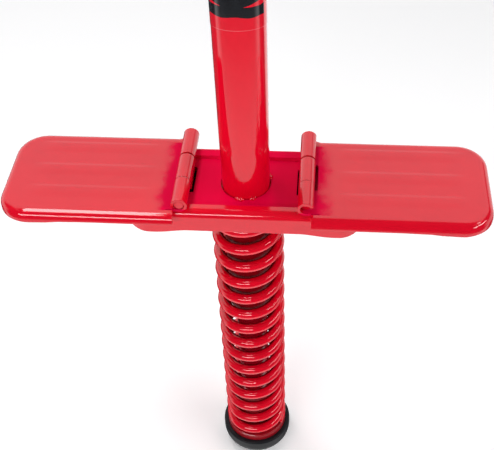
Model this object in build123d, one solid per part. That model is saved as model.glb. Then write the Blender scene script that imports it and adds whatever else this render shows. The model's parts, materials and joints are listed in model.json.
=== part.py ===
from build123d import *
import math
import os

# Pogo stick. Millimetres, +Z up, origin at the centre of the foot's sole on the
# tube's axis. X runs along the pedals and the handlebar, -Y is the front.

# ---- driving dimensions -------------------------------------------------------
PEDAL_Z = 340.0          # top plane of both pedals above the ground
TOP_Z = 948.0            # top end of the main tube

TUBE_R, TUBE_WALL = 17.5, 1.5
TUBE_BOTTOM_Z = 206.0

PLUNGER_R, PLUNGER_WALL = 12.7, 2.0
PLUNGER_BOTTOM_Z, PLUNGER_TOP_Z = 8.0, 295.0
STROKE = 130.0

BUSH_FLANGE_T, BUSH_L = 2.0, 60.0
RUNNING_GAP = 0.05       # radial, plunger in its bushes and pedals on their pins
SLIDER_L = 24.8
SLIDER_PIN_R, SLIDER_PIN_L = 2.5, 30.0

CUP_R, CUP_BOTTOM_Z, CUP_TOP_Z = 27.5, 19.5, 29.2
SOCKET_R, SOCKET_TOP_Z = 15.2, 73.5

FOOT_R, FOOT_TOP_Z, FOOT_ROUND = 31.6, 22.2, 14.0

WIRE_R, COIL_R = 4.25, 23.45
COIL_PITCH, CLOSED_PITCH = 19.38, 6.1
COIL_CLOSED_TURNS = (0.70, 0.90)            # closed turn, then its blend into the pitch
COIL_END_H = 1.45                           # wire centre above the ground end plane
COIL_START_AZ = -26.5

BRACKET_HALF_L, BRACKET_HALF_W, BRACKET_CORNER = 86.5, 35.4, 18.0
BRACKET_EDGE = 5.2
BRACKET_T, BRACKET_TOP = 2.2, -2.3          # top level is relative to PEDAL_Z
BRACKET_FLOOR = -4.8
RECESS_HALF_L, RECESS_BACK, RECESS_FRONT = 76.0, 25.0, -26.5

HINGE_X, HINGE_Z = 44.2, 3.8                # HINGE_Z is above PEDAL_Z
KNUCKLE_R, PIN_R = 5.8, 3.7
KNUCKLE_BACK = (15.0, 42.0)                 # pedal's knuckle, along Y
KNUCKLE_MIDDLE = (-10.9, 13.4)              # bracket's knuckle
KNUCKLE_FRONT = (-35.0, -11.3)              # pedal's knuckle
STRAP_T, SLOT_GAP, SLOT_OUT = 2.2, 1.2, 7.6

PEDAL_X0, PEDAL_X1 = 53.8, 174.0
PEDAL_HALF_W, PEDAL_CORNER, PEDAL_T, PEDAL_EDGE = 43.8, 22.0, 2.0, 5.8
PEDAL_NOTCH_X = 51.9                        # sheet's edge beside the middle knuckle
PEDAL_TOE_X, PEDAL_TOE_Y = 48.2, -35.4      # front edge runs on below the hinge
RIB_Y = (28.6, 4.2, -18.8)
RIB_X0, RIB_X1, RIB_W, RIB_H = 65.0, 156.0, 10.5, 0.9

SEAT_R, SEAT_HOLE_R, SEAT_T = 27.0, 20.6, 1.5

BAR_R, BAR_WALL, BAR_HALF_L, BAR_Z = 11.0, 1.5, 150.0, 926.0
GRIP_R, GRIP_X0, GRIP_X1 = 15.5, 42.0, 147.0
WRAP_Z0, WRAP_Z1, WRAP_T = 481.0, 800.0, 0.2

os.makedirs("parts", exist_ok=True)
Z = PEDAL_Z


# ---- helpers ------------------------------------------------------------------
def save(shape, name):
    if isinstance(shape, (list, tuple)):
        shape = Compound(children=list(shape))
    shape.label = name
    export_step(shape, f"parts/{name}.step")


def turned(*pts):
    """Solid of revolution about Z from (radius, height) corners."""
    face = make_face(Polyline(*[(r, 0, z) for r, z in pts], close=True))
    return revolve(face, Axis.Z)


def ring(r_out, r_in, z0, z1):
    body = Pos(0, 0, (z0 + z1) / 2) * Cylinder(r_out, z1 - z0)
    if r_in:
        body -= Pos(0, 0, (z0 + z1) / 2) * Cylinder(r_in, z1 - z0 + 2)
    return body


def rod_y(x, z, r, y0, y1):
    return Pos(x, (y0 + y1) / 2, z) * Rot(90, 0, 0) * Cylinder(r, y1 - y0)


def rod_x(y, z, r, x0, x1):
    return Pos((x0 + x1) / 2, y, z) * Rot(0, 90, 0) * Cylinder(r, x1 - x0)


def box(x0, x1, y0, y1, z0, z1):
    return Pos((x0 + x1) / 2, (y0 + y1) / 2, (z0 + z1) / 2) * Box(
        x1 - x0, y1 - y0, z1 - z0
    )


def weld(r, z, leg, up=1):
    """Fillet weld round a tube of radius r, standing on the plane z."""
    line = Polyline((r, 0, z), (r + leg, 0, z))
    arc = ThreePointArc(
        (r + leg, 0, z),
        (r + leg * 0.62, 0, z + up * leg * 0.62),
        (r, 0, z + up * leg),
    )
    close = Line((r, 0, z + up * leg), (r, 0, z))
    return revolve(make_face(line + arc + close), Axis.Z)


def only(shape):
    """The solids of a shape, as one shape."""
    found = shape.solids()
    return found[0] if len(found) == 1 else Compound(children=list(found))


# ---- main tube ----------------------------------------------------------------
main_tube = ring(TUBE_R, TUBE_R - TUBE_WALL, TUBE_BOTTOM_Z, TOP_Z)
main_tube -= rod_x(0, BAR_Z, BAR_R, -30, 30)
main_tube -= rod_y(0, BAR_Z, 2.6, -30, 30)
save(main_tube, "main_tube")

# ---- guide bush pressed into the tube's lower end -------------------------------
lower_guide_bush = turned(
    (PLUNGER_R + RUNNING_GAP, TUBE_BOTTOM_Z - BUSH_FLANGE_T),
    (TUBE_R - 0.6, TUBE_BOTTOM_Z - BUSH_FLANGE_T),
    (TUBE_R - 0.1, TUBE_BOTTOM_Z - BUSH_FLANGE_T + 0.5),
    (TUBE_R - 0.1, TUBE_BOTTOM_Z),
    (TUBE_R - TUBE_WALL, TUBE_BOTTOM_Z),
    (TUBE_R - TUBE_WALL, TUBE_BOTTOM_Z + BUSH_L),
    (PLUNGER_R + RUNNING_GAP, TUBE_BOTTOM_Z + BUSH_L),
)
save(lower_guide_bush, "lower_guide_bush")

# ---- plunger: tube, end plug, slider and its pin --------------------------------
slider_z0 = TUBE_BOTTOM_Z + BUSH_L + 0.2
slider_z1 = slider_z0 + SLIDER_L
pin_z = (slider_z0 + slider_z1) / 2
pin_hole = rod_x(0, pin_z, SLIDER_PIN_R, -30, 30)

plunger_tube = ring(
    PLUNGER_R, PLUNGER_R - PLUNGER_WALL, PLUNGER_BOTTOM_Z, PLUNGER_TOP_Z
)
save(plunger_tube - pin_hole, "plunger_tube")

slider = turned(
    (PLUNGER_R, slider_z0),
    (TUBE_R - TUBE_WALL - RUNNING_GAP - 1.0, slider_z0),
    (TUBE_R - TUBE_WALL - RUNNING_GAP, slider_z0 + 1.0),
    (TUBE_R - TUBE_WALL - RUNNING_GAP, slider_z1 - 1.0),
    (TUBE_R - TUBE_WALL - RUNNING_GAP - 1.0, slider_z1),
    (PLUNGER_R, slider_z1),
)
save(slider - pin_hole, "plunger_slider")
save(
    rod_x(0, pin_z, SLIDER_PIN_R, -SLIDER_PIN_L / 2, SLIDER_PIN_L / 2)
    - rod_x(0, pin_z, 1.2, -SLIDER_PIN_L, SLIDER_PIN_L),
    "slider_pin",
)
save(
    ring(PLUNGER_R - PLUNGER_WALL, 0, PLUNGER_BOTTOM_Z, PLUNGER_BOTTOM_Z + 6),
    "plunger_end_plug",
)

# ---- spring cup, its socket and the weld between them ---------------------------
spring_cup = turned(
    (PLUNGER_R, CUP_BOTTOM_Z),
    (CUP_R - 1.6, CUP_BOTTOM_Z),
    (CUP_R - 0.5, CUP_BOTTOM_Z + 0.5),
    (CUP_R, CUP_BOTTOM_Z + 1.6),
    (CUP_R, CUP_TOP_Z - 0.8),
    (CUP_R - 0.8, CUP_TOP_Z),
    (PLUNGER_R, CUP_TOP_Z),
)
save(spring_cup, "spring_cup")
cup_socket = turned(
    (PLUNGER_R, CUP_TOP_Z),
    (SOCKET_R, CUP_TOP_Z),
    (SOCKET_R, SOCKET_TOP_Z - 0.8),
    (SOCKET_R - 0.8, SOCKET_TOP_Z),
    (PLUNGER_R, SOCKET_TOP_Z),
)
save(cup_socket, "cup_socket")
save(weld(SOCKET_R, CUP_TOP_Z, 2.2), "cup_weld")

# ---- rubber foot ----------------------------------------------------------------
sole_r = FOOT_R - FOOT_ROUND
side_z = FOOT_ROUND
foot_edges = [
    Line((0, 0, 0), (sole_r, 0, 0)),
    ThreePointArc(
        (sole_r, 0, 0),
        (
            sole_r + FOOT_ROUND * math.sin(math.radians(45)),
            0,
            FOOT_ROUND * (1 - math.cos(math.radians(45))),
        ),
        (FOOT_R, 0, side_z),
    ),
    Line((FOOT_R, 0, side_z), (FOOT_R, 0, FOOT_TOP_Z - 1.5)),
    ThreePointArc(
        (FOOT_R, 0, FOOT_TOP_Z - 1.5),
        (FOOT_R - 0.44, 0, FOOT_TOP_Z - 0.44),
        (FOOT_R - 1.5, 0, FOOT_TOP_Z),
    ),
    Polyline(
        (FOOT_R - 1.5, 0, FOOT_TOP_Z),
        (CUP_R + 0.1, 0, FOOT_TOP_Z),
        (CUP_R + 0.1, 0, CUP_BOTTOM_Z),
        (PLUNGER_R, 0, CUP_BOTTOM_Z),
        (PLUNGER_R, 0, PLUNGER_BOTTOM_Z),
        (0, 0, PLUNGER_BOTTOM_Z),
        (0, 0, 0),
    ),
]
foot_line = foot_edges[0]
for piece in foot_edges[1:]:
    foot_line += piece
rubber_foot = revolve(make_face(foot_line), Axis.Z)
for groove_r in (8.0, 13.0):
    rubber_foot -= ring(groove_r + 1.2, groove_r - 1.2, -1.0, 1.6)
save(rubber_foot, "rubber_foot")

# ---- pedal bracket ---------------------------------------------------------------
t = BRACKET_T
top = Z + BRACKET_TOP
low = Z - 26.0
outer = extrude(
    Pos(0, 0, low)
    * RectangleRounded(2 * BRACKET_HALF_L, 2 * BRACKET_HALF_W, BRACKET_CORNER),
    amount=top - low,
)
outer = fillet(outer.edges().group_by(Axis.Z)[-1], BRACKET_EDGE)
inner = extrude(
    Pos(0, 0, low - 1)
    * RectangleRounded(
        2 * (BRACKET_HALF_L - t), 2 * (BRACKET_HALF_W - t), BRACKET_CORNER - t
    ),
    amount=top - t - low + 1,
)
inner = fillet(inner.edges().group_by(Axis.Z)[-1], BRACKET_EDGE - t)
bracket = outer - inner

# recessed floor, one sheet thick
ry = (RECESS_BACK + RECESS_FRONT) / 2
rw = RECESS_BACK - RECESS_FRONT
floor_z = Z + BRACKET_FLOOR
bracket += extrude(
    Pos(0, ry, floor_z - t)
    * RectangleRounded(2 * (RECESS_HALF_L + t), rw + 2 * t, 8.0),
    amount=top - floor_z + t - 0.2,
)
bracket -= extrude(
    Pos(0, ry, top) * RectangleRounded(2 * RECESS_HALF_L, rw, 6.0),
    amount=-(top - floor_z),
    taper=25,
)
# flange's lower edge: level in the middle, dipping to an ear under each pedal
edge = [
    (-100, -15.6), (-90, -16.6), (-83, -19.2), (-75, -22.0), (-66, -23.0),
    (-56, -22.4), (-47, -21.0), (-38, -20.4),
    (38, -20.4), (47, -21.0), (56, -22.4), (66, -23.0),
    (75, -22.0), (83, -19.2), (90, -16.6), (100, -15.6),
]
pts = [(x, 0, Z + z) for x, z in edge]
under = (
    Spline(*pts[:8])
    + Line(pts[7], pts[8])
    + Spline(*pts[8:])
    + Polyline(pts[-1], (100, 0, Z - 40), (-100, 0, Z - 40), pts[0])
)
bracket -= extrude(make_face(under), amount=60, dir=(0, 1, 0), both=True)

# clearance hole for the tube
bracket -= ring(TUBE_R + 0.7, 0, Z - 12, Z + 2)

# slot for each hinge strap
slot_x0 = HINGE_X - KNUCKLE_R - SLOT_GAP
slot_x1 = HINGE_X - KNUCKLE_R + STRAP_T + SLOT_OUT
for s in (1, -1):
    y0, y1 = KNUCKLE_MIDDLE
    sx = sorted((s * slot_x0, s * slot_x1))
    bracket -= box(sx[0], sx[1], y0 - 1.0, y1 + 1.0, floor_z - t - 1, floor_z + 1)
save(only(bracket), "pedal_bracket")

# ---- hinge straps: a rolled knuckle on a leg, with its foot welded under the floor ----
for name, s in (("left_hinge_strap", -1), ("right_hinge_strap", 1)):
    y0, y1 = KNUCKLE_MIDDLE
    hx, hz = s * HINGE_X, Z + HINGE_Z
    leg = sorted((s * (HINGE_X - KNUCKLE_R), s * (HINGE_X - KNUCKLE_R + STRAP_T)))
    foot = sorted((s * (slot_x0 - 3.0), s * (slot_x1 + 4.0)))
    strap = rod_y(hx, hz, KNUCKLE_R, y0, y1)
    a0, a1 = math.radians(200), math.radians(224)
    if s > 0:
        a0, a1 = math.radians(316), math.radians(340)
    seam = make_face(
        Polyline(
            (hx, 0, hz),
            (hx + 9 * math.cos(a0), 0, hz + 9 * math.sin(a0)),
            (hx + 9 * math.cos(a1), 0, hz + 9 * math.sin(a1)),
            close=True,
        )
    )
    strap -= extrude(seam, amount=60, dir=(0, 1, 0), both=True)
    strap += box(leg[0], leg[1], y0, y1, floor_z - t - STRAP_T, hz)
    strap += box(foot[0], foot[1], y0 - 3.0, y1 + 3.0,
                 floor_z - t - STRAP_T, floor_z - t)
    strap -= rod_y(hx, hz, PIN_R, y0 - 1, y1 + 1)
    save(only(strap), name)

# tack welds on top of the floor, a full fillet weld below it
tacks = [
    Rot(0, 0, az) * revolve(
        make_face(
            Polyline((TUBE_R, 0, floor_z), (TUBE_R + 2.4, 0, floor_z),
                     (TUBE_R + 1.3, 0, floor_z + 1.5), (TUBE_R, 0, floor_z + 2.2),
                     close=True)
        ), Axis.Z, 15)
    for az in (-109, -83, 20, 65, 100, 145)
]
save(tacks, "bracket_tack_welds")
save(weld(TUBE_R, floor_z - t, 2.6, up=-1), "bracket_lower_weld")

# ---- upper spring seat -------------------------------------------------------------
seat_z1 = floor_z - t
seat_z0 = seat_z1 - SEAT_T
save(ring(SEAT_R, SEAT_HOLE_R, seat_z0, seat_z1), "upper_spring_seat")

# ---- coil spring -------------------------------------------------------------------
# Closed and ground ends: the wire's centre starts below its own radius and the
# end planes cut it flat. Pitch is constant between the two closed turns.
z_first, z_last = CUP_TOP_Z + COIL_END_H, seat_z0 - COIL_END_H
c0, c1 = COIL_CLOSED_TURNS
end_rise = CLOSED_PITCH * c0 + (CLOSED_PITCH + COIL_PITCH) / 2 * (c1 - c0)
active = (z_last - z_first - 2 * end_rise) / COIL_PITCH
turns = 2 * c1 + active


def closed_rise(v):
    """Rise of the wire over the first v turns of an end."""
    w = max(v - c0, 0.0)
    return CLOSED_PITCH * v + (COIL_PITCH - CLOSED_PITCH) * w * w / (2 * (c1 - c0))


def rise(u):
    """Height of the wire's centre after u turns from the lower end."""
    if u <= c1:
        return closed_rise(u)
    if u <= turns - c1:
        return end_rise + COIL_PITCH * (u - c1)
    return 2 * end_rise + COIL_PITCH * active - closed_rise(turns - u)


steps = 12
count = int(math.ceil(turns * steps))
path_pts = []
for i in range(count + 1):
    u = turns * i / count
    a = math.radians(COIL_START_AZ) + 2 * math.pi * u
    path_pts.append((COIL_R * math.cos(a), COIL_R * math.sin(a), z_first + rise(u)))
path = Spline(*path_pts)
start = Plane(origin=path @ 0, z_dir=path % 0)
coil_spring = sweep(start * Circle(WIRE_R), path=path, is_frenet=True)
coil_spring -= box(-40, 40, -40, 40, CUP_TOP_Z - 12, CUP_TOP_Z)
coil_spring -= box(-40, 40, -40, 40, seat_z0, seat_z0 + 12)
save(only(coil_spring), "coil_spring")
print("spring turns", round(turns, 3), "active", round(active, 3),
      "volume", round(coil_spring.volume),
      "whole wire", round(math.pi * WIRE_R ** 2 * path.length))

# ---- pedals --------------------------------------------------------------------------
def right_pedal():
    x0, x1, w, tp = PEDAL_X0, PEDAL_X1, PEDAL_HALF_W, PEDAL_T
    z_low = Z - 12.0

    def plan(xa, xb, half, corner, z):
        flat = Pos((xa + xb) / 2, 0) * Rectangle(xb - xa, 2 * half)
        flat = fillet(flat.vertices().group_by(Axis.X)[-1], corner)
        return Pos(0, 0, z) * flat

    xt = PEDAL_TOE_X
    shell = extrude(plan(xt, x1, w, PEDAL_CORNER, z_low), amount=Z - z_low)
    rim = [e for e in shell.edges().group_by(Axis.Z)[-1] if e.center().X > xt + 0.01]
    shell = fillet(rim, PEDAL_EDGE)
    hollow = extrude(
        plan(xt - 6, x1 - tp, w - tp, PEDAL_CORNER - tp, z_low - 1),
        amount=Z - tp - z_low + 1,
    )
    rim = [
        e for e in hollow.edges().group_by(Axis.Z)[-1] if e.center().X > xt - 6 + 0.01
    ]
    hollow = fillet(rim, PEDAL_EDGE - tp)
    pedal = shell - hollow
    pedal -= box(xt - 10, x0, PEDAL_TOE_Y, w + 5, z_low - 2, Z + 2)

    # lower edge of the flange, a little deeper round the outer corners
    curve = [(60, -7.0), (110, -7.0), (128, -7.4), (142, -8.6), (152, -8.9),
             (163, -8.2), (182, -7.7)]
    cp = [(x, 0, Z + z) for x, z in curve]
    under = (
        Polyline((30, 0, Z - 30), (30, 0, Z - 7.0), cp[0], cp[1])
        + Spline(*cp[1:])
        + Polyline(cp[-1], (182, 0, Z - 30), (30, 0, Z - 30))
    )
    pedal -= extrude(make_face(under), amount=80, dir=(0, 1, 0), both=True)

    # stiffening ribs, pressed up
    for y in RIB_Y:
        place = Pos((RIB_X0 + RIB_X1) / 2, y)
        pedal += (
            Pos(0, 0, Z) * place
            * extrude(SlotOverall(RIB_X1 - RIB_X0, RIB_W), amount=RIB_H, taper=68)
        )
        pedal -= (
            Pos(0, 0, Z - tp) * place
            * extrude(
                SlotOverall(RIB_X1 - RIB_X0 - 2, RIB_W - 2), amount=RIB_H, taper=60
            )
        )

    # hinge leaves: the sheet bends up and rolls over the pin towards the tube
    hx, hz = HINGE_X, Z + HINGE_Z
    cx = PEDAL_X0
    r_in, r_out = cx - hx - KNUCKLE_R, cx - hx - KNUCKLE_R + tp
    for y0, y1 in (KNUCKLE_BACK, KNUCKLE_FRONT):
        barrel = rod_y(hx, hz, KNUCKLE_R, y0, y1)
        a0, a1 = math.radians(-42), math.radians(-24)
        seam = make_face(
            Polyline(
                (hx, 0, hz),
                (hx + 9 * math.cos(a0), 0, hz + 9 * math.sin(a0)),
                (hx + 9 * math.cos(a1), 0, hz + 9 * math.sin(a1)),
                close=True,
            )
        )
        barrel -= extrude(seam, amount=80, dir=(0, 1, 0), both=True)
        quarter = make_face(
            ThreePointArc(
                (cx, y0, hz - r_in),
                (cx - r_in * math.sin(math.pi / 4), y0, hz - r_in * math.cos(math.pi / 4)),
                (cx - r_in, y0, hz),
            )
            + Line((cx - r_in, y0, hz), (cx - r_out, y0, hz))
            + ThreePointArc(
                (cx - r_out, y0, hz),
                (cx - r_out * math.sin(math.pi / 4), y0, hz - r_out * math.cos(math.pi / 4)),
                (cx, y0, hz - r_out),
            )
            + Polyline(
                (cx, y0, hz - r_out),
                (cx + 1.0, y0, hz - r_out),
                (cx + 1.0, y0, hz - r_in),
                (cx, y0, hz - r_in),
            )
        )
        pedal += barrel
        pedal += extrude(quarter, amount=y1 - y0, dir=(0, 1, 0))
    for y0, y1 in (KNUCKLE_BACK, KNUCKLE_FRONT):
        pedal -= rod_y(hx, hz, PIN_R + RUNNING_GAP, y0 - 1, y1 + 1)
    # relief round the bracket's knuckle
    pedal -= box(x0 - 12, PEDAL_NOTCH_X, KNUCKLE_FRONT[1], KNUCKLE_BACK[0], Z - 15, Z + 12)
    pedal += box(PEDAL_NOTCH_X, x0 + 1, KNUCKLE_FRONT[1] - 0.5, KNUCKLE_BACK[0] + 0.5,
                 Z - tp, Z)
    return only(pedal)


right = right_pedal()
save(right, "right_pedal")
save(mirror(right, Plane.YZ), "left_pedal")

# ---- hinge pins ------------------------------------------------------------------------
for name, s, y0 in (("left_hinge_pin", -1, -34.6), ("right_hinge_pin", 1, -31.5)):
    pin = rod_y(s * HINGE_X, Z + HINGE_Z, PIN_R, y0, 41.2)
    pin = chamfer(pin.edges().filter_by(GeomType.CIRCLE), 0.5)
    save(pin, name)

# ---- handlebar ---------------------------------------------------------------------------
bar = rod_x(0, BAR_Z, BAR_R, -BAR_HALF_L, BAR_HALF_L)
bar -= rod_x(0, BAR_Z, BAR_R - BAR_WALL, -BAR_HALF_L - 1, BAR_HALF_L + 1)
bar -= rod_y(0, BAR_Z, 2.6, -30, 30)
save(bar, "handlebar_tube")

for name, s in (("left_grip", -1), ("right_grip", 1)):
    mid, length = s * (GRIP_X0 + GRIP_X1) / 2, GRIP_X1 - GRIP_X0
    grip = Pos(mid, 0, BAR_Z) * Rot(0, 90, 0) * Cylinder(GRIP_R, length)
    grip = fillet(grip.edges().filter_by(GeomType.CIRCLE), 3.0)
    grip -= rod_x(0, BAR_Z, BAR_R, mid - length, mid + length)
    save(grip, name)

for name, s in (("left_end_plug", -1), ("right_end_plug", 1)):
    head = rod_x(0, BAR_Z, BAR_R + 1.2, *sorted((s * BAR_HALF_L, s * (BAR_HALF_L + 3.5))))
    far = max if s > 0 else min
    rim = [e for e in head.edges().filter_by(GeomType.CIRCLE)
           if abs(abs(e.center().X) - BAR_HALF_L - 3.5) < 0.01]
    head = fillet(rim, 2.2)
    spigot = rod_x(
        0, BAR_Z, BAR_R - BAR_WALL, *sorted((s * (BAR_HALF_L - 12), s * BAR_HALF_L))
    )
    save(head + spigot, name)

tube_cap = turned(
    (0, TOP_Z - 7), (TUBE_R - TUBE_WALL, TOP_Z - 7), (TUBE_R - TUBE_WALL, TOP_Z),
    (TUBE_R, TOP_Z), (TUBE_R, TOP_Z + 1.2), (TUBE_R - 1.0, TOP_Z + 2.6),
    (TUBE_R - 4.0, TOP_Z + 3.6), (0, TOP_Z + 4.0),
)
save(tube_cap, "tube_cap")

# bolt across the tube and the bar, with its washer and cap nut behind
bolt = rod_y(0, BAR_Z, 2.5, -TUBE_R, 23.5)
head = rod_y(0, BAR_Z, 4.8, -TUBE_R - 3.0, -TUBE_R)
rim = [e for e in head.edges().filter_by(GeomType.CIRCLE) if e.center().Y < -TUBE_R - 2.9]
head = fillet(rim, 2.0)
socket = extrude(
    Plane(origin=(0, -TUBE_R - 3.5, BAR_Z), z_dir=(0, 1, 0)) * RegularPolygon(1.7, 6),
    amount=2.4,
)
save(bolt + head - socket, "handlebar_bolt")
save(
    rod_y(0, BAR_Z, 5.0, TUBE_R, TUBE_R + 1.0)
    - rod_y(0, BAR_Z, 2.5, TUBE_R - 1, TUBE_R + 2),
    "handlebar_washer",
)
nut = extrude(
    Plane(origin=(0, TUBE_R + 1.0, BAR_Z), z_dir=(0, 1, 0)) * RegularPolygon(4.62, 6),
    amount=4.5,
)
dome = Pos(0, TUBE_R + 5.0, BAR_Z) * Sphere(3.7)
dome &= box(-5, 5, TUBE_R + 5.0, TUBE_R + 10, BAR_Z - 5, BAR_Z + 5)
nut += dome
nut -= rod_y(0, BAR_Z, 2.5, TUBE_R, 23.5)
save(only(nut), "handlebar_nut")

# ---- printed film wrapped round the tube ---------------------------------------------------
save(ring(TUBE_R + WRAP_T, TUBE_R, WRAP_Z0, WRAP_Z1), "tube_wrap")
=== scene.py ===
import bpy, bmesh, json, math
from mathutils import Matrix, Vector, noise

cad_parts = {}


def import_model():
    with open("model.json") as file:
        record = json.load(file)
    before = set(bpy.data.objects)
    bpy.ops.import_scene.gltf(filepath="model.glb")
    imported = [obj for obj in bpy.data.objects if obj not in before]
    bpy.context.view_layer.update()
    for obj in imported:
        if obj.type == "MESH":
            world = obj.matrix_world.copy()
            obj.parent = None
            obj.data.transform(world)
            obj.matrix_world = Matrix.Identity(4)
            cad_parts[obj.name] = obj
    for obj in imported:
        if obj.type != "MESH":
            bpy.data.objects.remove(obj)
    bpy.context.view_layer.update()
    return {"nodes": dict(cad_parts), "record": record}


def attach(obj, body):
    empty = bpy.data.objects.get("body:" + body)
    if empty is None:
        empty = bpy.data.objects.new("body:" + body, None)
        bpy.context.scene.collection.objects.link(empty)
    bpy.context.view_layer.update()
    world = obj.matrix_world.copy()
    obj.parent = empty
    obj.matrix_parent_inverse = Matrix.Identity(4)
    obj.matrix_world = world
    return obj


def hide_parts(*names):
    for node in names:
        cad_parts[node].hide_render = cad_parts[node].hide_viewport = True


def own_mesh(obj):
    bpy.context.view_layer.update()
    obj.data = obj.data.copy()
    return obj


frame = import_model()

nodes = frame["nodes"]
MM = 0.001
Z = 340.0                 # pedal tops above the ground, mm


# ---------------------------------------------------------------- camera ----
def add_camera():
    cam = bpy.data.objects.new("camera", bpy.data.cameras.new("camera"))
    bpy.context.scene.collection.objects.link(cam)
    yaw, pitch, roll = [math.radians(a) for a in (6.51, 46.10, -2.74)]
    f = Vector((-math.sin(yaw) * math.cos(pitch), math.cos(yaw) * math.cos(pitch), -math.sin(pitch)))
    r = f.cross(Vector((0, 0, 1))).normalized()
    u = r.cross(f)
    c, s = math.cos(roll), math.sin(roll)
    r2, u2 = c * r + s * u, -s * r + c * u
    cam.matrix_world = (Matrix.Translation((0.05281, -0.47017, 0.44204 + 0.340))
                        @ Matrix((r2, u2, -f)).transposed().to_4x4())
    cam.data.sensor_width = 36
    cam.data.lens = 895.24 / 494 * 36
    cam.data.clip_start, cam.data.clip_end = 0.02, 20
    bpy.context.scene.camera = cam
    return cam


camera = add_camera()


# ----------------------------------------------------------- shader tools ----
class Net:
    """Short names for building a material's node tree."""

    def __init__(self, name, rough=0.5, metal=0.0, ior=1.5, coat=0.0, coat_rough=0.03, spec=None):
        self.mat = bpy.data.materials.new(name)
        self.mat.use_nodes = True
        self.t = self.mat.node_tree
        self.b = self.t.nodes["Principled BSDF"]
        self.b.inputs["Roughness"].default_value = rough
        self.b.inputs["Metallic"].default_value = metal
        self.b.inputs["IOR"].default_value = ior
        self.b.inputs["Coat Weight"].default_value = coat
        self.b.inputs["Coat Roughness"].default_value = coat_rough
        if spec is not None:
            self.b.inputs["Specular IOR Level"].default_value = spec
        self.pos = self.n("ShaderNodeNewGeometry").outputs["Position"]
        tc = self.n("ShaderNodeTexCoord")
        self.obj = tc.outputs["Object"]

    def n(self, kind, **inputs):
        node = self.t.nodes.new(kind)
        for k, v in inputs.items():
            self.set(node, k, v)
        return node

    def set(self, node, key, v):
        sock = node.inputs[int(key[1:])] if key[0] == "_" and key[1:].isdigit() else node.inputs[key.replace("_", " ")]
        if isinstance(v, bpy.types.NodeSocket):
            self.t.links.new(v, sock)
        else:
            sock.default_value = v

    def noise(self, scale, detail=3.0, rough=0.5, vec=None, dist=0.0):
        node = self.n("ShaderNodeTexNoise", Vector=vec or self.obj, Scale=scale, Detail=detail, Roughness=rough, Distortion=dist)
        return node.outputs["Fac"]

    def voronoi(self, scale, vec=None, feature="F1", rand=1.0):
        node = self.n("ShaderNodeTexVoronoi", Vector=vec or self.obj, Scale=scale, Randomness=rand)
        node.feature = feature
        return node.outputs["Distance"]

    def ramp(self, fac, stops, mode="LINEAR"):
        node = self.n("ShaderNodeValToRGB")
        self.t.links.new(fac, node.inputs[0])
        node.color_ramp.interpolation = mode
        els = node.color_ramp.elements
        while len(els) < len(stops):
            els.new(0.5)
        for e, (p, c) in zip(els, stops):
            e.position = p
            e.color = tuple(c) + (1,) if isinstance(c, (tuple, list)) else (c, c, c, 1)
        return node.outputs["Color"]

    def mix(self, fac, a, b, mode="MIX"):
        node = self.t.nodes.new("ShaderNodeMix")
        node.data_type = "RGBA"
        node.blend_type = mode
        for sock, v in ((node.inputs[0], fac), (node.inputs[6], a), (node.inputs[7], b)):
            if isinstance(v, bpy.types.NodeSocket):
                self.t.links.new(v, sock)
            elif sock.type == "RGBA":
                sock.default_value = tuple(v) + (1,) if len(v) == 3 else v
            else:
                sock.default_value = v
        return node.outputs[2]

    def math(self, op, a, b=0.0, c=None, clamp=False):
        node = self.t.nodes.new("ShaderNodeMath")
        node.operation = op
        node.use_clamp = clamp
        for i, v in enumerate((a, b) if c is None else (a, b, c)):
            if isinstance(v, bpy.types.NodeSocket):
                self.t.links.new(v, node.inputs[i])
            else:
                node.inputs[i].default_value = v
        return node.outputs[0]

    def xyz(self, vec=None):
        s = self.n("ShaderNodeSeparateXYZ", Vector=vec or self.obj)
        return s.outputs[0], s.outputs[1], s.outputs[2]

    def range(self, v, a, b, c=0.0, d=1.0, smooth=False):
        node = self.n("ShaderNodeMapRange")
        node.interpolation_type = "SMOOTHSTEP" if smooth else "LINEAR"
        for i, x in enumerate((v, a, b, c, d)):
            if isinstance(x, bpy.types.NodeSocket):
                self.t.links.new(x, node.inputs[i])
            else:
                node.inputs[i].default_value = x
        return node.outputs[0]

    def bump(self, height, strength=0.3, dist=0.0005, normal=None):
        node = self.n("ShaderNodeBump", Height=height, Strength=strength, Distance=dist)
        if normal is not None:
            self.t.links.new(normal, node.inputs["Normal"])
        return node.outputs["Normal"]

    def color(self, v):
        self.set(self.b, "Base_Color", v if isinstance(v, bpy.types.NodeSocket) else tuple(v) + (1,))

    def rough(self, v):
        self.set(self.b, "Roughness", v)

    def normal(self, v, coat=False):
        self.t.links.new(v, self.b.inputs["Normal"])
        if coat:
            self.t.links.new(v, self.b.inputs["Coat Normal"])


def dress(name, material):
    o = nodes[name]
    o.data.materials.clear()
    o.data.materials.append(material)


def edge_mask(m, radius=0.0009, lo=0.02, hi=0.14):
    """1 on convex or concave edges, 0 on flat faces."""
    soft = m.n("ShaderNodeBevel", Radius=radius).outputs[0]
    geo = m.n("ShaderNodeNewGeometry").outputs["Normal"]
    dot = m.t.nodes.new("ShaderNodeVectorMath")
    dot.operation = "DOT_PRODUCT"
    m.t.links.new(soft, dot.inputs[0])
    m.t.links.new(geo, dot.inputs[1])
    return m.range(m.math("SUBTRACT", 1.0, dot.outputs["Value"]), lo, hi, smooth=True), soft


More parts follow.
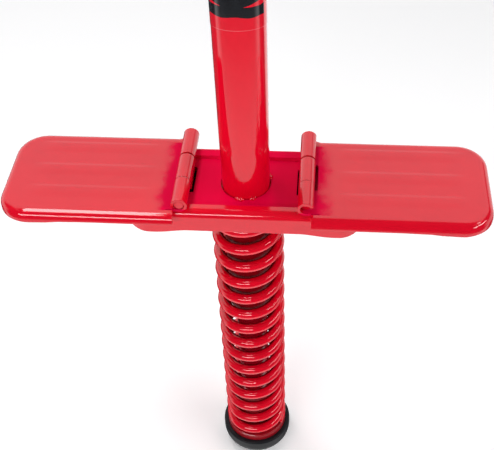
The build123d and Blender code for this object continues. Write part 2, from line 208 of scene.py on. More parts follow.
def enamel(name, base=(0.70, 0.0012, 0.016), deep=(0.62, 0.0008, 0.014), rough=0.06, bevel=0.0006,
           peel=0.05, specks=True, wear=0.5, slot_shade_below=None, dull=None, shade=None):
    """Sprayed gloss enamel over steel: soft orange peel, dust nibs, thin paint on edges."""
    m = Net(name, rough=rough, ior=1.52, coat=0.25, coat_rough=0.02)
    cloud = m.noise(9, 4, 0.55)
    fine = m.noise(70, 3, 0.6)
    col = m.ramp(m.mix(0.3, cloud, fine), [(0.30, deep), (0.52, base), (0.75, tuple(min(1, c * 1.06 + 0.0005) for c in base))])
    if wear:
        mask, soft = edge_mask(m, bevel * 1.5)
        chip = m.range(m.noise(420, 4, 0.7), 0.60, 0.72)
        thin = m.math("MULTIPLY", mask, 0.30)
        col = m.mix(thin, col, (0.66, 0.012, 0.03))
        chips = m.math("MULTIPLY", m.math("MULTIPLY", mask, chip), wear)
        col = m.mix(chips, col, (0.34, 0.05, 0.045))
    if specks:
        cell = m.n("ShaderNodeTexVoronoi", Vector=m.obj, Scale=85.0)
        pick = m.math("GREATER_THAN", m.n("ShaderNodeSeparateColor", Color=cell.outputs["Color"]).outputs[0], 0.955)
        dot = m.math("MULTIPLY", pick, m.range(cell.outputs["Distance"], 0.03, 0.05, 1, 0))
        col = m.mix(dot, col, (0.10, 0.002, 0.004))
    smear = m.noise(24, 5, 0.65, dist=0.4)
    gloss = m.range(smear, 0.35, 0.75, rough * 0.75, rough * 1.7)
    coat_w = spec_w = None
    if dull:
        # painted reflection: in a band near the hinge, below the given height, the colour is tinted crimson and gloss,
        # coat and specular are cut, standing in for a dark reflection
        x, y, z = m.xyz()
        ax = m.math("MULTIPLY_ADD", m.math("SUBTRACT", m.noise(60, 4, 0.6), 0.5), dull[2], m.math("ABSOLUTE", x))
        flat = m.math("MULTIPLY", m.range(ax, dull[0], dull[1], 1, 0, smooth=True), m.math("LESS_THAN", z, dull[3]))
        flat = m.math("MULTIPLY", flat, m.math("MULTIPLY", m.math("GREATER_THAN", y, dull[4]), m.math("LESS_THAN", y, dull[5])))
        col = m.mix(flat, col, (base[0], 0.0006, 0.046))
        gloss = m.math("ADD", gloss, m.math("MULTIPLY", flat, 0.30))
        left_over = m.math("MULTIPLY_ADD", flat, -0.97, 1.0)
        coat_w, spec_w = m.math("MULTIPLY", left_over, 0.25), m.math("MULTIPLY", left_over, 0.5)
        m.set(m.b, "Coat_Weight", coat_w)
        m.set(m.b, "Specular_IOR_Level", spec_w)
    if slot_shade_below:
        # painted shade: in the hinge slots, below the given height, the colour is near black and coat and specular are
        # cut
        x, y, z = m.xyz()
        ax = m.math("ABSOLUTE", x)
        slot_shade = m.math("MULTIPLY", m.math("MULTIPLY", m.math("GREATER_THAN", ax, 0.0345), m.math("LESS_THAN", ax, 0.0525)),
                        m.math("MULTIPLY", m.math("GREATER_THAN", y, -0.0118), m.math("LESS_THAN", y, 0.0142)))
        slot_shade = m.math("MULTIPLY", slot_shade, m.math("LESS_THAN", z, slot_shade_below))
        col = m.mix(slot_shade, col, (0.012, 0.0004, 0.0008))
        gloss = m.math("MAXIMUM", gloss, m.math("MULTIPLY", slot_shade, 0.9))
        keep = m.math("SUBTRACT", 1.0, slot_shade)
        m.set(m.b, "Coat_Weight", m.math("MULTIPLY", keep, coat_w or 0.25))
        m.set(m.b, "Specular_IOR_Level", m.math("MULTIPLY", keep, spec_w or 0.5))
    if shade:
        # painted shade where the spring runs: darker and less glossy on the tube below the bracket and on the wire's
        # inner side
        x, y, z = m.xyz()
        if shade == "tube":
            painted_shade = m.math("MULTIPLY", m.range(z, 0.3345, 0.3325, 0, 1), 0.75)
        else:
            r = m.math("SQRT", m.math("ADD", m.math("MULTIPLY", x, x), m.math("MULTIPLY", y, y)))
            painted_shade = m.range(r, 0.0231, 0.0212, 0, 1, smooth=True)
        col = m.mix(painted_shade, col, (0.16, 0.0004, 0.003))
        gloss = m.math("ADD", gloss, m.math("MULTIPLY", painted_shade, 0.45))
        keep = m.math("SUBTRACT", 1.0, painted_shade)
        m.set(m.b, "Coat_Weight", m.math("MULTIPLY", keep, 0.25))
        m.set(m.b, "Specular_IOR_Level", m.math("MULTIPLY", keep, 0.5))
    m.color(col)
    m.rough(gloss)
    h = m.mix(0.25, m.noise(330, 2), m.noise(60, 2))
    base_n = m.n("ShaderNodeBevel", Radius=bevel).outputs[0] if bevel else None
    n1 = m.bump(h, peel, 0.0006, base_n)
    if specks:
        nib = m.range(m.voronoi(520), 0.02, 0.10, 1, 0)
        n1 = m.bump(m.math("MULTIPLY", nib, m.range(m.noise(60), 0.62, 0.7)), 0.12, 0.0001, n1)
    m.normal(n1, coat=True)
    return m.mat


def rubber():
    """Moulded black rubber: fine matt grain, pale dust rubbed into the wall and scuffs at the sole."""
    m = Net("sole_rubber", rough=0.42, ior=1.5, spec=0.2)
    x, y, z = m.xyz()
    grain = m.noise(1500, 3, 0.6)
    mott = m.noise(55, 5, 0.65)
    col = m.ramp(mott, [(0.3, (0.0055, 0.006, 0.0075)), (0.7, (0.011, 0.013, 0.016))])
    low = m.range(z, 0.0005, 0.009, 1, 0)
    scuff = m.math("MULTIPLY", low, m.range(m.noise(240, 4, 0.7), 0.42, 0.62))
    col = m.mix(m.math("MULTIPLY", scuff, 0.55), col, (0.085, 0.08, 0.075))
    mask, soft = edge_mask(m, 0.001)
    col = m.mix(m.math("MULTIPLY", mask, 0.25), col, (0.05, 0.055, 0.06))
    m.color(col)
    m.rough(m.range(mott, 0.3, 0.7, 0.34, 0.52))
    n1 = m.bump(grain, 0.22, 0.00018, soft)
    m.normal(m.bump(m.noise(180, 3), 0.10, 0.0004, n1))
    return m.mat


def foam():
    """Closed-cell foam sleeve: open pores on a slightly lumpy skin, greyer where hands rub."""
    m = Net("grip_foam", rough=0.88, ior=1.45)
    m.b.inputs["Sheen Weight"].default_value = 0.25
    m.b.inputs["Sheen Roughness"].default_value = 0.6
    pores = m.voronoi(1500)
    big = m.voronoi(620)
    rub = m.noise(18, 3)
    col = m.ramp(rub, [(0.35, (0.011, 0.011, 0.012)), (0.7, (0.024, 0.024, 0.026))])
    # painted shade: the pores are painted near black, for the shade in them
    col = m.mix(m.range(pores, 0.0, 0.22, 0.8, 0), col, (0.003, 0.003, 0.003))
    m.color(col)
    n1 = m.bump(pores, 0.55, 0.0004)
    m.normal(m.bump(big, 0.35, 0.0007, n1))
    return m.mat


def plastic(name, base, rough=0.42, grain=900):
    """Spark-eroded moulded plastic."""
    m = Net(name, rough=rough, ior=1.47)
    mott = m.noise(60, 4)
    dark = tuple(c * 0.7 for c in base)
    col = m.ramp(mott, [(0.3, dark), (0.7, base)])
    mask, soft = edge_mask(m, 0.0007)
    col = m.mix(m.math("MULTIPLY", mask, 0.35), col, tuple(min(1, c * 2.2 + 0.02) for c in base))
    m.color(col)
    m.rough(m.range(mott, 0.3, 0.7, rough * 0.85, rough * 1.2))
    m.normal(m.bump(m.noise(grain, 3, 0.6), 0.16, 0.0002, soft))
    return m.mat


def zinc():
    """Bright zinc plate: faint turning lines and dull, slightly yellowed patches."""
    m = Net("zinc_steel", rough=0.28, metal=1.0)
    patch = m.noise(120, 4, 0.6)
    col = m.ramp(patch, [(0.3, (0.46, 0.45, 0.42)), (0.7, (0.66, 0.66, 0.67))])
    mask, soft = edge_mask(m, 0.0004)
    col = m.mix(m.math("MULTIPLY", mask, 0.5), col, (0.80, 0.80, 0.82))
    m.color(col)
    m.rough(m.range(patch, 0.3, 0.7, 0.38, 0.22))
    x, y, z = m.xyz()
    lines = m.n("ShaderNodeTexNoise", Vector=m.n("ShaderNodeCombineXYZ", X=m.math("MULTIPLY", x, 60), Y=m.math("MULTIPLY", y, 4000), Z=m.math("MULTIPLY", z, 60)).outputs[0], Scale=1.0).outputs["Fac"]
    m.normal(m.bump(lines, 0.1, 0.0001, soft))
    return m.mat


def wrap_film():
    """Clear film printed with a charcoal band and flowing red slits, over the red tube."""
    m = Net("wrap_film", rough=0.10, ior=1.5, coat=0.3, coat_rough=0.03)
    x, y, z = m.xyz()
    az = m.math("ARCTAN2", y, x)                       # -pi..pi, the front is -pi/2
    zz = m.math("MULTIPLY", z, 1000.0)
    red = m.ramp(m.noise(9, 4), [(0.3, (0.66, 0.0008, 0.015)), (0.6, (0.75, 0.0012, 0.017))])
    ink = m.ramp(m.noise(160, 3), [(0.3, (0.0045, 0.0050, 0.0068)), (0.7, (0.0085, 0.0095, 0.0125))])

    def wave(freq, phase, amp):
        return m.math("MULTIPLY", m.math("SINE", m.math("MULTIPLY_ADD", az, freq, phase)), amp)

    # the charcoal field's wavy lower and upper edges, and the film's own hand-cut lower edge
    sin_az, cos_az = m.math("SINE", az), m.math("COSINE", az)
    low = m.math("ADD", m.math("MULTIPLY_ADD", sin_az, -5.0, 480.2), m.math("MULTIPLY_ADD", cos_az, -0.3, wave(6.0, 11.0, 0.5)))
    edge = m.math("MULTIPLY_ADD", sin_az, -5.0, 471.0)
    high = m.math("ADD", 770.0, wave(2.0, 1.0, 9.0))
    field = m.math("MULTIPLY", m.math("GREATER_THAN", zz, low), m.math("LESS_THAN", zz, high))

    # flowing slits: bands of varying width round a rising sine
    def slit(z0, slope, freq, phase, amp, w0, w1):
        mid = m.math("ADD", m.math("MULTIPLY_ADD", az, slope, z0), wave(freq, phase, amp))
        width = m.math("ADD", w0, m.math("ABSOLUTE", wave(1.5, phase, w1)))
        return m.math("LESS_THAN", m.math("ABSOLUTE", m.math("SUBTRACT", zz, mid)), width)

    turn = m.math("ADD", az, math.pi / 2)
    wide = m.math("ADD", m.range(turn, -0.52, -1.25, 0, 1.8), m.range(turn, 0.26, 1.08, 0, 2.2))
    cuts = m.math("LESS_THAN", m.math("ABSOLUTE", m.math("SUBTRACT", zz, 492.1)), m.math("SUBTRACT", wide, 0.02))
    for args in ((560, 9.0, 2.0, 0.3, 10.0, 0.8, 3.2), (612, -12.0, 2.0, 1.7, 12.0, 0.8, 4.6),
                 (668, 10.0, 2.0, 2.6, 9.0, 0.8, 3.6), (722, -8.0, 2.0, 0.9, 12.0, 0.8, 4.2)):
        cuts = m.math("MAXIMUM", cuts, slit(*args))
    # the band stops short of the film's seam
    seam = m.math("GREATER_THAN", m.math("ABSOLUTE", m.math("ADD", az, 0.155)), 0.235)
    dark = m.math("MULTIPLY", m.math("MULTIPLY", field, m.math("SUBTRACT", 1.0, cuts)), seam)
    col = m.mix(dark, red, ink)
    # painted highlight: the film's cut edges and the seam line are painted pale pink, where they catch the light
    edge_highlight = m.math("ADD", m.range(m.math("SUBTRACT", zz, edge), 0.15, 0.65, 1, 0), m.range(zz, 799.3, 799.8, 0, 1))
    line = m.range(m.math("ABSOLUTE", m.math("ADD", az, 0.02)), 0.0, 0.02, 1, 0)
    col = m.mix(m.math("MULTIPLY", m.math("ADD", edge_highlight, line, clamp=True), 0.35), col, (0.85, 0.30, 0.34))
    m.color(col)
    m.rough(m.range(m.noise(40, 4), 0.3, 0.7, 0.07, 0.16))
    ripple = m.noise(34, 3)
    bubbles = m.range(m.voronoi(130), 0.03, 0.12, 1, 0)
    few = m.range(m.noise(30, 2), 0.60, 0.66)
    n1 = m.bump(ripple, 0.12, 0.0008)
    m.normal(m.bump(m.math("MULTIPLY", bubbles, few), 0.25, 0.0002, n1), coat=True)
    return m.mat


red = enamel("red_enamel")
# painted reflection: the pedals get a crimson band with cut gloss beside the hinge
pedal_painted_reflection = enamel("red_enamel_pedal", base=(0.70, 0.0012, 0.016), deep=(0.63, 0.0008, 0.015), dull=(0.053, 0.063, 0.022, 0.3404, -0.036, 0.036))
# painted light and shade: a brighter copy of the enamel for the upright tube, darker below the bracket
tube_painted_light_and_shade = enamel("red_enamel_tube", base=(0.755, 0.0012, 0.017), deep=(0.69, 0.0008, 0.015), shade="tube")
# painted light and shade: a brighter copy of the enamel for the coils, darker on the wire's inner side
red_spring = enamel("red_spring", base=(0.80, 0.001, 0.018), deep=(0.72, 0.0008, 0.016), rough=0.03, bevel=0, peel=0.012,
                    specks=False, wear=0, shade="wire")
# painted shade: a darker copy of the red enamel for the plunger within the spring
plunger_painted_shade = enamel("red_plunger", base=(0.36, 0.0010, 0.010), deep=(0.25, 0.0008, 0.008), rough=0.10, specks=False, wear=0)
bead = enamel("red_enamel_bead", rough=0.05, bevel=0, peel=0.12, specks=False, wear=0)
# painted light, shade and reflection: a brighter copy of the enamel for the bracket, near black in the hinge slots,
# with a crimson band on the back rim
bracket_painted_light_and_shade = enamel("red_enamel_floor", base=(0.74, 0.0012, 0.017), deep=(0.67, 0.0008, 0.015), slot_shade_below=0.33512, dull=(0.079, 0.083, 0.0, 0.3392, -0.0268, 0.034))
# painted shade: a darker copy of the red enamel for the cup under the spring
cup_painted_shade = enamel("red_enamel_cup", base=(0.36, 0.0010, 0.009), deep=(0.28, 0.0008, 0.007), rough=0.34, specks=False, wear=0.3)
# painted shade: the hinge straps near black in the slots
strap_painted_shade = enamel("red_enamel_strap", slot_shade_below=0.3372)
sole = rubber()
foam_mat = foam()
black = plastic("black_plastic", (0.018, 0.018, 0.020))
nylon = plastic("nylon", (0.62, 0.60, 0.54), 0.5)
steel = zinc()
film = wrap_film()

by_slot = {"red_enamel": red, "red_spring": red_spring, "red_plunger": plunger_painted_shade, "sole_rubber": sole,
           "grip_foam": foam_mat, "black_plastic": black, "nylon": nylon, "zinc_steel": steel, "wrap_film": film}
for part in frame["record"]["subparts"]:
    dress(part["node"], by_slot[part["material_slot"]])
dress("main_tube", tube_painted_light_and_shade)
for name in ("spring_cup", "cup_socket", "cup_weld"):
    dress(name, cup_painted_shade)
dress("pedal_bracket", bracket_painted_light_and_shade)
dress("left_hinge_strap", strap_painted_shade)
dress("right_hinge_strap", strap_painted_shade)


# ---------------------------------------------------------------- pieces ----
def piece(name, verts, faces, body, material, stands_for=(), weld=1e-6):
    me = bpy.data.meshes.new(name)
    me.from_pydata([(x * MM, y * MM, z * MM) for x, y, z in verts], [], faces)
    bm = bmesh.new()
    bm.from_mesh(me)
    bmesh.ops.remove_doubles(bm, verts=bm.verts, dist=weld)
    bmesh.ops.recalc_face_normals(bm, faces=bm.faces)
    bm.to_mesh(me)
    bm.free()
    for p in me.polygons:
        p.use_smooth = True
    o = bpy.data.objects.new(name, me)
    bpy.context.scene.collection.objects.link(o)
    o.data.materials.append(material)
    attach(o, body)
    if stands_for:
        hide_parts(*stands_for)
    return o


def coil():
    cup, seat = 29.2, 331.5
    R, r, pitch, closed, c0, c1, end_h = 23.45, 4.25, 19.38, 6.1, 0.70, 0.90, 1.45
    end_rise = closed * c0 + (closed + pitch) / 2 * (c1 - c0)
    z0, z1 = cup + end_h, seat - end_h
    active = (z1 - z0 - 2 * end_rise) / pitch
    turns = 2 * c1 + active

    def part(v):
        w = max(v - c0, 0.0)
        return closed * v + (pitch - closed) * w * w / (2 * (c1 - c0))

    def rise(u):
        if u <= c1:
            return part(u)
        if u <= turns - c1:
            return end_rise + pitch * (u - c1)
        return 2 * end_rise + pitch * active - part(turns - u)

    count, sides = int(turns * 64), 22
    verts, faces = [], []
    for i in range(count + 1):
        u = turns * i / count
        a = math.radians(-26.5) + 2 * math.pi * u
        slope = (rise(min(u + 0.01, turns)) - rise(max(u - 0.01, 0))) / (min(u + 0.01, turns) - max(u - 0.01, 0))
        t = Vector((-math.sin(a) * R * 2 * math.pi, math.cos(a) * R * 2 * math.pi, slope)).normalized()
        e = Vector((math.cos(a), math.sin(a), 0))
        n2 = e.cross(t)
        c = Vector((R * math.cos(a), R * math.sin(a), z0 + rise(u)))
        for k in range(sides):
            f = 2 * math.pi * k / sides
            p = c + r * (math.cos(f) * e + math.sin(f) * n2)
            p.z = min(max(p.z, cup + 0.01), seat - 0.01)
            verts.append(tuple(p))
    for i in range(count):
        for k in range(sides):
            k2 = (k + 1) % sides
            faces.append((i * sides + k, i * sides + k2, (i + 1) * sides + k2, (i + 1) * sides + k))
    faces.append(tuple(range(sides)))
    faces.append(tuple(count * sides + k for k in reversed(range(sides))))
    o = piece("spring_wire", verts, faces, "frame", red_spring, ("coil_spring",))
    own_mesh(o)
    return o


coil()


def thicken(o, thickness):
    """Gives a sheet its thickness on the side away from its normals, and keeps the result as plain mesh."""
    mod = o.modifiers.new("sheet", "SOLIDIFY")
    mod.thickness = thickness
    mod.offset = -1
    mod.use_even_offset = True
    mod.use_quality_normals = True
    dg = bpy.context.evaluated_depsgraph_get()
    me = bpy.data.meshes.new_from_object(o.evaluated_get(dg))
    o.modifiers.clear()
    old, o.data = o.data, me
    bpy.data.meshes.remove(old)
    for p in me.polygons:
        p.use_smooth = True
    me.set_sharp_from_angle(angle=math.radians(50))


def curve_at(points, x):
    for (x0, z0), (x1, z1) in zip(points, points[1:]):
        if x <= x1:
            t = min(max((x - x0) / (x1 - x0), 0), 1)
            t = t * t * (3 - 2 * t)
            return z0 + (z1 - z0) * t
    return points[-1][1]


def pedal(side):
    """One pressed sheet: ribbed tread, rolled-down edge, and two leaves curled over the hinge pin."""
    name = ("left", "right")[side > 0] + "_pedal"
    X0, X1, W, RC, RE = 53.8, (176.0, 174.5)[side > 0], 43.8, 22.0, 5.8
    hx, hz, KR = 44.2, Z + 3.8, 5.8
    low = [(60, -7.0), (110, -7.0), (128, -7.4), (142, -8.6), (152, -8.9), (163, -8.2), (182, -7.7)]

    def rib(x, y):
        z = 0.0
        for yc in (28.6, 4.2, -18.8):
            t = y - yc
            if t >= 0:
                f = 1 - min(max((t - 3.4) / 1.9, 0), 1)
            else:
                f = 1 - min(max((abs(t) - 0.4) / 7.6, 0), 1)
            e = min(max((x - 60) / 20, 0), 1) * min(max((162 - x) / 18, 0), 1)
            z = max(z, 0.42 * f * f * (3 - 2 * f) * e * e * (3 - 2 * e))
        # the press leaves the tread a touch crowned
        z += 0.16 * (1 - (y / 43.8) ** 2) * min(1, max(0, (x - 60) / 40)) * min(1, max(0, (172 - x) / 30))
        return z

    arc = [(RE * (1 - math.cos(math.radians(a))), RE * math.sin(math.radians(a)) - RE)
           for a in (0, 11.6, 23.2, 34.8, 46.4, 57.3, 68.2, 79.1, 90)]
    ds = [None] + [d for d, z in arc] + [6.6, 7.4, 8.3, 8.8] + [8.8 + 12.2 * i / 12 for i in range(1, 13)]
    zs = [None] + [z for d, z in arc] + [0.0] * 16

    xs = [X0 + (X1 - RC - X0) * i / 62 for i in range(63)]
    ys = sorted([-21.8 + 43.6 * i / 38 for i in range(39)])
    for want in (-11.3, 15.0):
        k = min(range(len(ys)), key=lambda i: abs(ys[i] - want))
        ys[k] = want
    base = [((x, -W), (0, -1)) for x in xs]
    for i in range(1, 18):
        a = math.radians(-90 + 5 * i)
        base.append(((X1 - RC, -W + RC, a), (math.cos(a), math.sin(a))))
    base += [((X1, y), (1, 0)) for y in ys]
    for i in range(1, 18):
        a = math.radians(5 * i)
        base.append(((X1 - RC, W - RC, a), (math.cos(a), math.sin(a))))
    base += [((x, W), (0, 1)) for x in reversed(xs)]

    def at(b, d):
        p, n = b
        if len(p) == 3:
            return p[0] + (RC - d) * n[0], p[1] + (RC - d) * n[1]
        return p[0] - n[0] * d, p[1] - n[1] * d

    verts, faces, index = [], [], {}

    def v(x, y, z):
        key = (round(x, 3), round(y, 3), round(z, 3))
        if key not in index:
            index[key] = len(verts)
            verts.append((side * x, y, z))
        return index[key]

    def ring(k):
        out = []
        for b in base:
            d = ds[k] or 0.0
            x, y = at(b, d)
            z = curve_at(low, x) if k == 0 else zs[k]
            if k >= 9:
                z += rib(x, y)
            out.append(v(x, y, Z + z))
        return out

    def quads(a, b):
        for i in range(len(a) - 1):
            f = [a[i], a[i + 1], b[i + 1], b[i]]
            f = [q for j, q in enumerate(f) if q != f[j - 1]]
            if len(set(f)) >= 3:
                faces.append(tuple(f))

    rings = [ring(k) for k in range(len(ds))]
    for a, b in zip(rings, rings[1:]):
        quads(a, b)
    # the flat middle, row by row, meeting the innermost ring
    inner = rings[-1]
    end = inner[62:62 + 17 + len(ys) + 17 + 2]
    rows = [verts[i][1] for i in end]
    cols = []
    for x in xs[:-1]:
        cols.append([v(x, y, Z + rib(x, y)) for y in rows])
    cols.append([v(xs[-1], y, Z + rib(xs[-1], y)) for y in rows])
    for a, b in zip(cols, cols[1:]):
        quads(a, b)
    quads(cols[-1], end)
    # toe: the front edge runs on below the hinge
    for xa, xb in ((48.2, 50.1), (50.1, 52.0), (52.0, X0)):
        quads([v(xa, -W + (ds[k] or 0), Z + (zs[k] if k else curve_at(low, xa))) for k in range(13)],
              [v(xb, -W + (ds[k] or 0), Z + (zs[k] if k else curve_at(low, xb))) + 0 for k in range(13)])
    # sheet's edge beside the middle knuckle
    mid = [y for y in rows if -11.3 <= y <= 15.0]
    edge = (50.4, 51.9)[side > 0]
    quads([v(edge, y, Z + rib(X0, y)) for y in mid], [v(X0, y, Z + rib(X0, y)) for y in mid])

    # leaves: in under the pin, up the inner side and over the top
    lip = (-33, 14)[side > 0]
    path = [(x, Z) for x in (X0, 52.0, 50.1, 48.2, 46.2)]
    path += [(hx + 3.8 * math.cos(math.radians(g)), hz + 3.8 * math.sin(math.radians(g))) for g in range(-90, -361 + lip, -6)]
    edge_y = [(-W + ds[k], zs[k]) for k in range(1, len(ds))] + [(y, 0.0) for y in rows[1:-1]] \
        + [(W - ds[k], zs[k]) for k in range(len(ds) - 1, 0, -1)]
    for lo, hi in ((-35.001, -11.299), (14.999, 42.001)):
        ey = [(y, z) for y, z in edge_y if lo <= y <= hi]
        prev = None
        for i, (px, pz) in enumerate(path):
            w = min(i / 3.0, 1.0)
            keep = 1 - w * w * (3 - 2 * w)
            row = [v(px, y, pz + (dz + (rib(X0, y) if dz == 0.0 else 0.0)) * keep) for y, dz in ey]
            if prev:
                quads(prev, row)
            prev = row

    o = piece(name + "_sheet", verts, faces, name, pedal_painted_reflection, (name,), weld=2e-6)
    bm = bmesh.new()
    bm.from_mesh(o.data)
    up = sum(f.normal.z * f.calc_area() for f in bm.faces)
    if up < 0:
        bmesh.ops.reverse_faces(bm, faces=bm.faces)
    bm.to_mesh(o.data)
    bm.free()
    thicken(o, 0.002)
    return o


pedal(-1)
pedal(1)


def tack(i, az, length, size):
    """Short weld bead laid into the corner of tube and floor, lumpy and flowed out at its ends."""
    verts, faces = [], []
    n, m = 30, 14
    for a in range(n + 1):
        t = a / n
        th = math.radians(az) + (t - 0.5) * length / 18.0
        taper = max(0.0, 1 - (2 * t - 1) ** 4) ** 0.5
        wob = 1 + 0.16 * math.sin(11 * t + 2.1 * i) + 0.08 * math.sin(29 * t + i)
        for b in range(m + 1):
            g = math.pi / 2 * b / m
            k = size * wob * taper * (1 + 0.12 * math.sin(2 * g))
            rr = 17.35 + 1.35 * k * math.cos(g)
            zz = Z - 4.9 + k * math.sin(g)
            verts.append((rr * math.cos(th), rr * math.sin(th), zz))
        verts.append((17.35 * math.cos(th), 17.35 * math.sin(th), Z - 4.9))
    w = m + 2
    for a in range(n):
        for b in range(w):
            b2 = (b + 1) % w
            faces.append((a * w + b, a * w + b2, (a + 1) * w + b2, (a + 1) * w + b))
    faces.append(tuple(range(w)))
    faces.append(tuple(n * w + b for b in reversed(range(w))))
    return verts, faces


def tacks():
    verts, faces = [], []
    for i, (az, length, size) in enumerate(((-100, 7.5, 1.9), (-70, 5.5, 1.7), (22, 7, 1.9), (64, 7, 1.8), (104, 7, 1.9), (150, 7, 1.8))):
        v, f = tack(i, az, length, size)
        faces += [tuple(q + len(verts) for q in face) for face in f]
        verts += v
    piece("tack_beads", verts, faces, "frame", bead, ("bracket_tack_welds",))


tacks()


def wrap_sheet():
    """Thin printed film round the tube, its lower edge cut by hand and sitting a little askew."""
    n, m, r_in, r_out, top = 144, 40, 17.53, 17.7, 800.0
    verts, faces = [], []
    for i in range(n):
        a = 2 * math.pi * i / n
        low = 471.0 - 5.0 * math.sin(a)
        col = [(r_in, low), (r_out - 0.05, low + 0.02), (r_out, low + 0.10), (r_out, low + 0.25)]
        col += [(r_out, low + 0.6 + (top - low - 1.2) * j / m) for j in range(m + 1)]
        col += [(r_out, top - 0.25), (r_out, top - 0.10), (r_out - 0.05, top - 0.02), (r_in, top)]
        verts += [(r * math.cos(a), r * math.sin(a), z) for r, z in col]
    w = m + 9
    for i in range(n):
        k = (i + 1) % n
        for j in range(w):
            j2 = (j + 1) % w
            faces.append((i * w + j, k * w + j, k * w + j2, i * w + j2))
    piece("wrap_sheet", verts, faces, "frame", film, ("tube_wrap",))


wrap_sheet()


def foam_grip(side):
    """Foam sleeve: full in the middle, pinched to the bar at its rolled ends."""
    name = ("left", "right")[side > 0] + "_grip"
    x0, x1, zc, r_in = 42.0, 147.0, 926.0, 11.0
    prof = []
    n = 60
    for i in range(n + 1):
        t = i / n
        x = x0 + (x1 - x0) * t
        e = min(x - x0, x1 - x)
        r = 15.0 + 0.35 * math.sin(math.pi * t) ** 0.5
        if e < 3.6:
            r = 11.9 + (r - 11.9) * math.sqrt(max(0.0, 1 - ((3.6 - e) / 3.6) ** 2))
        prof.append((x, r))
    sides = 72
    verts, faces = [], []
    rows = [(x0 + 0.6, r_in)] + prof + [(x1 - 0.6, r_in)]
    for j, (x, r) in enumerate(rows):
        for k in range(sides):
            a = 2 * math.pi * k / sides
            bump = 0.0
            if r > 13:
                bump = 0.16 * noise.noise(Vector((x * 0.09 * side, math.cos(a) * 1.3, math.sin(a) * 1.3 + side * 7)))
            rr = min(r + bump, 15.5)
            verts.append((side * x, rr * math.cos(a), zc + rr * math.sin(a)))
    for j in range(len(rows) - 1):
        for k in range(sides):
            k2 = (k + 1) % sides
            faces.append((j * sides + k, j * sides + k2, (j + 1) * sides + k2, (j + 1) * sides + k))
    last = len(rows) - 1
    for k in range(sides):
        k2 = (k + 1) % sides
        faces.append((k, last * sides + k, last * sides + k2, k2))
    o = piece(name + "_foam", verts, faces, "frame", foam_mat, (name,))
    return o


foam_grip(-1)
foam_grip(1)

# ----------------------------------------------------------------- stage ----
def add_floor():
    me = bpy.data.meshes.new("floor")
    bm = bmesh.new()
    bmesh.ops.create_grid(bm, x_segments=1, y_segments=1, size=60)
    bm.to_mesh(me)
    o = bpy.data.objects.new("floor", me)
    bpy.context.scene.collection.objects.link(o)
    m = Net("floor_paper", rough=0.9, spec=0.0)
    m.color((1.0, 1.0, 1.0))
    m.b.inputs["Emission Color"].default_value = (1, 1, 1, 1)
    # painted light: the floor glows, more strongly further out, so the far floor reads as a white sweep
    x, y, z = m.xyz()
    far = m.math("SQRT", m.math("ADD", m.math("MULTIPLY", x, x), m.math("MULTIPLY", y, y)))
    m.set(m.b, "Emission_Strength", m.range(far, 0.8, 3.0, 0.14, 0.46, smooth=True))
    o.data.materials.append(m.mat)
    o.visible_glossy = False
    return o


add_floor()


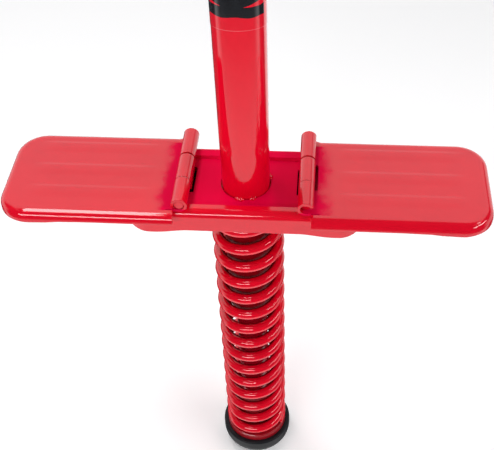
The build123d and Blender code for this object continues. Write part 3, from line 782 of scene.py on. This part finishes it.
def world():
    """Studio dome: a white backdrop behind and low all round, with a dark ceiling and a dark room in front."""
    w = bpy.data.worlds.new("studio")
    bpy.context.scene.world = w
    w.use_nodes = True
    t = w.node_tree
    bg = t.nodes["Background"]
    sep = t.nodes.new("ShaderNodeSeparateXYZ")
    t.links.new(t.nodes.new("ShaderNodeTexCoord").outputs["Generated"], sep.inputs[0])
    x, y, z = sep.outputs

    def step(v, a, b):
        n = t.nodes.new("ShaderNodeMapRange")
        n.interpolation_type = "SMOOTHSTEP"
        t.links.new(v, n.inputs[0])
        n.inputs[1].default_value, n.inputs[2].default_value = a, b
        return n.outputs[0]

    def op(kind, *vs):
        n = t.nodes.new("ShaderNodeMath")
        n.operation = kind
        for i, v in enumerate(vs):
            if isinstance(v, bpy.types.NodeSocket):
                t.links.new(v, n.inputs[i])
            else:
                n.inputs[i].default_value = v
        return n.outputs[0]

    def both(*vs):
        out = vs[0]
        for v in vs[1:]:
            out = op("MULTIPLY", out, v)
        return out

    front = both(step(y, 0.0, -0.30), step(z, -0.72, -0.48), 0.95)
    left = both(step(x, -0.44, -0.60), step(z, 0.24, 0.36), step(y, 0.5, 0.2), 0.93)
    right = both(step(x, 0.44, 0.60), step(z, 0.24, 0.36), 0.93)
    under = both(step(y, 0.02, 0.20), step(z, -0.20, -0.36), step(op("MINIMUM", x, op("SUBTRACT", y, 0.50)), 0.06, 0.0), 0.95)
    top = both(step(z, 0.80, 0.91), 0.93)
    dark = op("MAXIMUM", top, op("MAXIMUM", op("MAXIMUM", front, left), op("MAXIMUM", right, under)))
    def blend(fac, a, color):
        mix = t.nodes.new("ShaderNodeMix")
        mix.data_type = "RGBA"
        t.links.new(fac, mix.inputs[0])
        if isinstance(a, bpy.types.NodeSocket):
            t.links.new(a, mix.inputs[6])
        else:
            mix.inputs[6].default_value = a
        mix.inputs[7].default_value = color
        return mix.outputs[2]

    seen = op("SUBTRACT", 1.0, t.nodes.new("ShaderNodeLightPath").outputs["Is Camera Ray"])
    t.links.new(blend(op("MULTIPLY", dark, seen), (1, 1, 1, 1), (0.01, 0.01, 0.02, 1)), bg.inputs[0])
    bg.inputs[1].default_value = 1.12


def softbox(name, direction, dist, width, height, radiance, target=(0, 0, 0.25), level=False):
    d = bpy.data.lights.new(name, "AREA")
    d.shape = "RECTANGLE"
    d.size, d.size_y = width, height
    d.energy = radiance * math.pi * width * height
    o = bpy.data.objects.new(name, d)
    tgt = Vector(target)
    o.location = tgt + Vector(direction).normalized() * dist
    o.rotation_mode = "QUATERNION"
    o.rotation_quaternion = (1, 0, 0, 0) if level else (tgt - o.location).to_track_quat("-Z", "Y")
    bpy.context.scene.collection.objects.link(o)
    return o


world()
front_box = softbox("box_front_left", (-0.36, -0.85, 0.39), 1.7, 1.1, 0.30, 11.0)
softbox("box_right", (0.80, -0.28, 0.62), 1.6, 1.25, 0.22, 10.0)
# overhead strip over the left pedal, lying level
softbox("box_top_left", (-0.505, 0.145, 1.45), 1.542, 0.37, 1.13, 9.5, (0, 0, 0.34), level=True)
softbox("box_top_right", (0.53, 0.09, 0.83), 1.5, 0.24, 0.16, 9.0, (0.14, 0, 0.34))
bpy.context.scene.view_settings.view_transform = "Standard"
